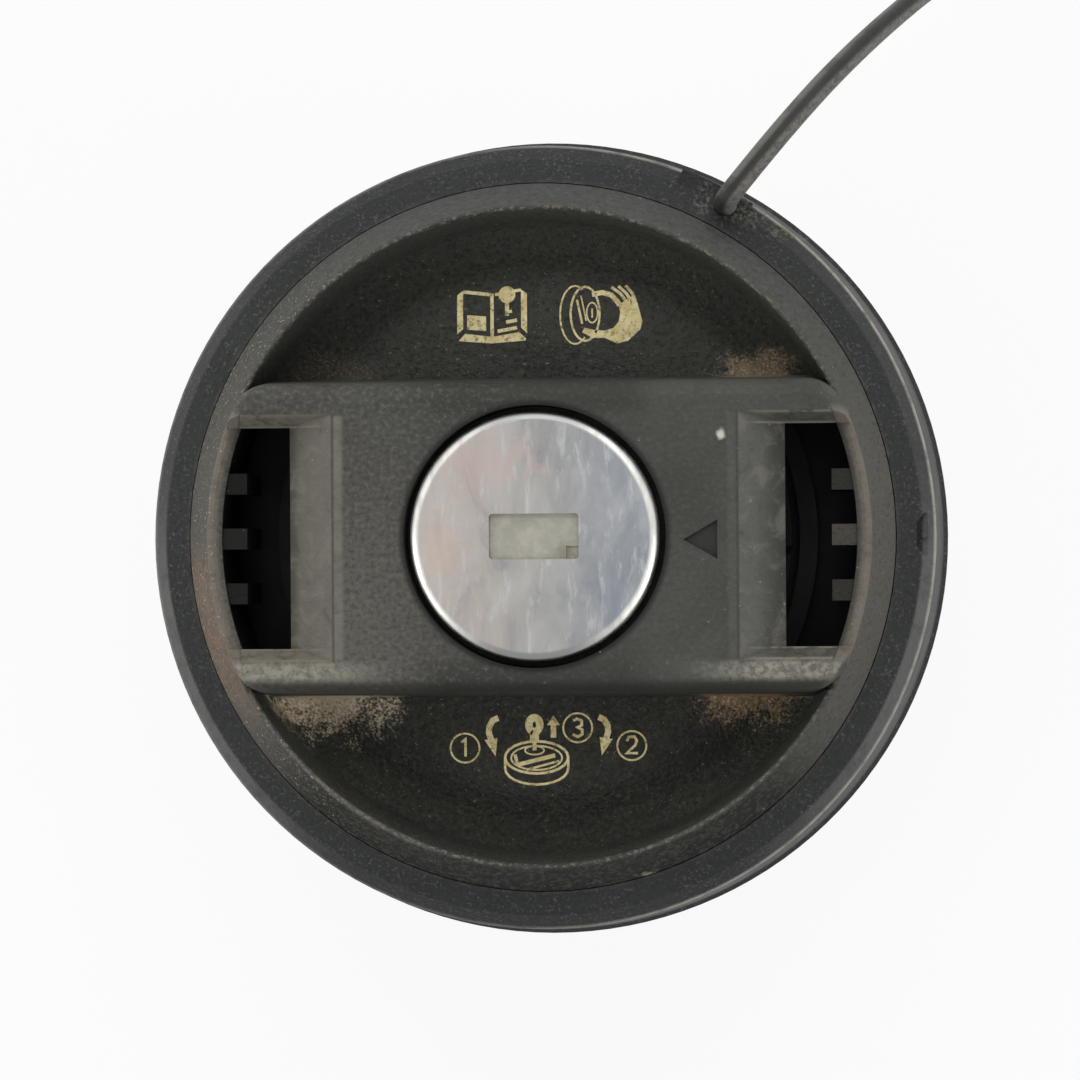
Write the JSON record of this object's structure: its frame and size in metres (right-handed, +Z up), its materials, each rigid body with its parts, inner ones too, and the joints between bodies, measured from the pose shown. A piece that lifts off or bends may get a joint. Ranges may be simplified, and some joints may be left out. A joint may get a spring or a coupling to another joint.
{
  "type": "fuel filler cap",
  "caption": "Locking fuel filler cap: grip bar between two finger pockets, keyed lock in its middle, sealed bayonet neck with breather valves, tether on a loose ring.",
  "frame": {"origin": "middle of the neck's bottom face, on the cap's axis", "axes": "+Z up the cap's axis towards the lock face, +X along the grip bar towards its arrow, +Y towards the side where the tether is plugged in"},
  "size_m": [0.1079, 0.1425, 0.0502],
  "materials": {
    "cover_black": "moulded black polyamide, worn and dusty",
    "ring_black": "moulded black plastic, satin",
    "tether_rubber": "black rubber, dusty",
    "lock_steel": "satin stainless sheet, smeared",
    "shutter_steel": "dull steel",
    "lock_cast": "plain zinc-grey casting",
    "lock_brass": "stamped brass",
    "spring_steel": "drawn spring wire",
    "zinc_screw": "zinc plated",
    "inner_plastic": "moulded black acetal",
    "inner_white": "natural acetal",
    "seal_rubber": "black nitrile rubber"
  },
  "bodies": {
    "neck": {"neck_body": "inner_plastic", "main_seal": "seal_rubber", "ratchet_ring": "inner_plastic", "valve_seat": "inner_plastic", "pressure_spring": "spring_steel"},
    "cover": {"grip_cover": "cover_black", "cover_retainer": "inner_plastic", "lock_housing": "lock_cast", "bolt_carrier": "inner_plastic", "carrier_screws": "zinc_screw"},
    "ring": {"tether_ring": "ring_black", "tether_elbow": "tether_rubber", "tether_cord": "tether_rubber", "tether_coil": "tether_rubber", "tether_anchor": "tether_rubber"},
    "barrel": {"lock_barrel": "lock_cast", "lock_face_cap": "lock_steel", "shutter_pin": "spring_steel", "shutter_spring": "spring_steel", "wafer_springs": "spring_steel", "barrel_clip": "spring_steel", "driver_cam": "lock_cast"},
    "bolt": {"lock_bolt": "lock_cast"},
    "shutter": {"key_shutter": "shutter_steel"},
    "wafers": {"wafer_tumblers": "lock_brass"},
    "pressure_valve": {"pressure_plate": "inner_white", "pressure_seal": "seal_rubber", "vacuum_spring": "spring_steel"},
    "vacuum_valve": {"vacuum_plunger": "inner_white", "vacuum_clip": "inner_white"}
  },
  "joints": [
    {"name": "cover_spin", "type": "hinge", "parent": "neck", "child": "cover", "pos_m": [0, 0, 0.0305], "axis": [0, 0, 1], "continuous": true},
    {"name": "ring_swivel", "type": "hinge", "parent": "cover", "child": "ring", "pos_m": [0, 0, 0.0375], "axis": [0, 0, 1], "continuous": true},
    {"name": "barrel_turn", "type": "hinge", "parent": "cover", "child": "barrel", "pos_m": [0, 0, 0.0405], "axis": [0, 0, 1], "range_deg": [0, 90]},
    {"name": "bolt_slide", "type": "slide", "parent": "cover", "child": "bolt", "axis": [1, 0, 0], "range_m": [0, 0.00368]},
    {"name": "shutter_flap", "type": "hinge", "parent": "barrel", "child": "shutter", "pos_m": [0, 0.0033, 0.04875], "axis": [1, 0, 0], "range_deg": [0, 75], "stiffness_Nm_per_rad": 0.001, "springref_deg": -22.92},
    {"name": "wafer_shift", "type": "slide", "parent": "barrel", "child": "wafers", "axis": [1, 0, 0], "range_m": [0, 0.0008], "stiffness_N_per_m": 300, "springref_m": -0.0004},
    {"name": "pressure_lift", "type": "slide", "parent": "neck", "child": "pressure_valve", "axis": [0, 0, 1], "range_m": [0, 0.0025], "stiffness_N_per_m": 500, "springref_m": -0.002, "deforming": ["pressure_spring"]},
    {"name": "vacuum_drop", "type": "slide", "parent": "pressure_valve", "child": "vacuum_valve", "axis": [0, 0, 1], "range_m": [-0.0015, 0], "stiffness_N_per_m": 150, "springref_m": 0.001, "deforming": ["vacuum_spring"]}
  ],
  "couplings": [
    {"joint": "bolt_slide", "follows": "barrel_turn", "m_per_rad": 0.002341}
  ]
}
